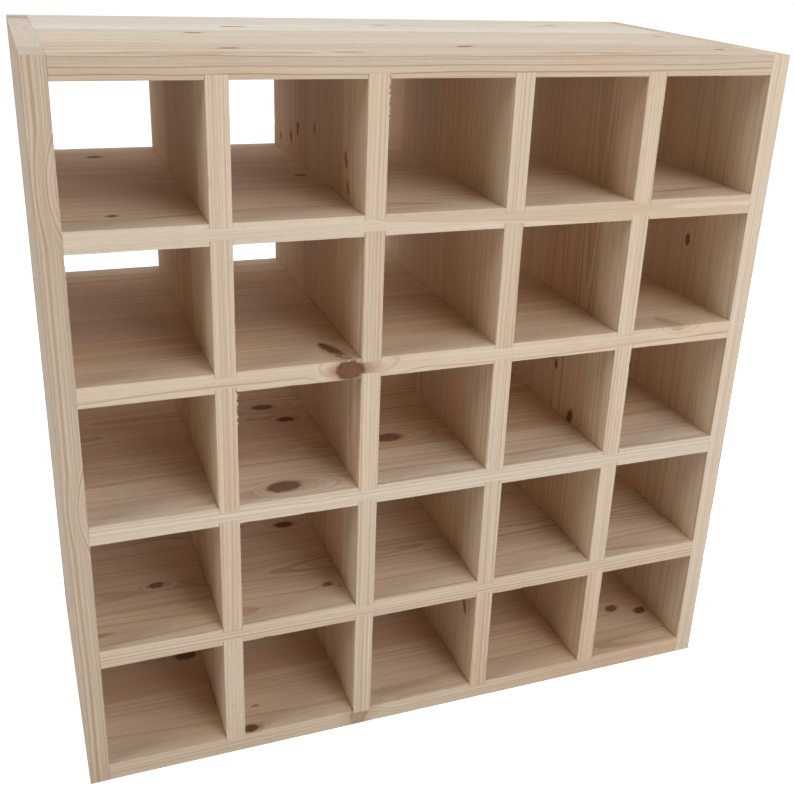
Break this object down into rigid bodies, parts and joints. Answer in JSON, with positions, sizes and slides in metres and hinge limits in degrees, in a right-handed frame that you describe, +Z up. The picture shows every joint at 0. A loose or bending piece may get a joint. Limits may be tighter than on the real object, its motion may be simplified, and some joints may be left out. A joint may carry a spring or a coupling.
{
  "type": "wine rack",
  "caption": "Square free-standing pine wine rack of equal open cells: boards on hidden dowels, with short dividers housed in dadoes; bottles lie on their sides in it.",
  "frame": {"origin": "middle of the footprint, on the floor under the rack", "axes": "+X to the right as seen from the front, along the shelves; +Y from the front to the back, along the bottles, so the front faces -Y; +Z up"},
  "size_m": [0.6, 0.28, 0.5975],
  "materials": {
    "pine": "planed and untreated, matt",
    "beech_dowel": "plain, matt"
  },
  "bodies": {
    "root": {"side_left": "pine", "side_right": "pine", "top_panel": "pine", "shelf_1": "pine", "shelf_2": "pine", "shelf_3": "pine", "shelf_4": "pine", "bottom_panel": "pine", "divider_r1_c1": "pine", "divider_r1_c2": "pine", "divider_r1_c3": "pine", "divider_r1_c4": "pine", "divider_r2_c1": "pine", "divider_r2_c2": "pine", "divider_r2_c3": "pine", "divider_r2_c4": "pine", "divider_r3_c1": "pine", "divider_r3_c2": "pine", "divider_r3_c3": "pine", "divider_r3_c4": "pine", "divider_r4_c1": "pine", "divider_r4_c2": "pine", "divider_r4_c3": "pine", "divider_r4_c4": "pine", "divider_r5_c1": "pine", "divider_r5_c2": "pine", "divider_r5_c3": "pine", "divider_r5_c4": "pine", "dowel_top_panel_left_front": "beech_dowel", "dowel_top_panel_left_back": "beech_dowel", "dowel_shelf_1_left_front": "beech_dowel", "dowel_shelf_1_left_back": "beech_dowel", "dowel_shelf_2_left_front": "beech_dowel", "dowel_shelf_2_left_back": "beech_dowel", "dowel_shelf_3_left_front": "beech_dowel", "dowel_shelf_3_left_back": "beech_dowel", "dowel_shelf_4_left_front": "beech_dowel", "dowel_shelf_4_left_back": "beech_dowel", "dowel_bottom_panel_left_front": "beech_dowel", "dowel_bottom_panel_left_back": "beech_dowel", "dowel_top_panel_right_front": "beech_dowel", "dowel_top_panel_right_back": "beech_dowel", "dowel_shelf_1_right_front": "beech_dowel", "dowel_shelf_1_right_back": "beech_dowel", "dowel_shelf_2_right_front": "beech_dowel", "dowel_shelf_2_right_back": "beech_dowel", "dowel_shelf_3_right_front": "beech_dowel", "dowel_shelf_3_right_back": "beech_dowel", "dowel_shelf_4_right_front": "beech_dowel", "dowel_shelf_4_right_back": "beech_dowel", "dowel_bottom_panel_right_front": "beech_dowel", "dowel_bottom_panel_right_back": "beech_dowel"}
  },
  "joints": []
}
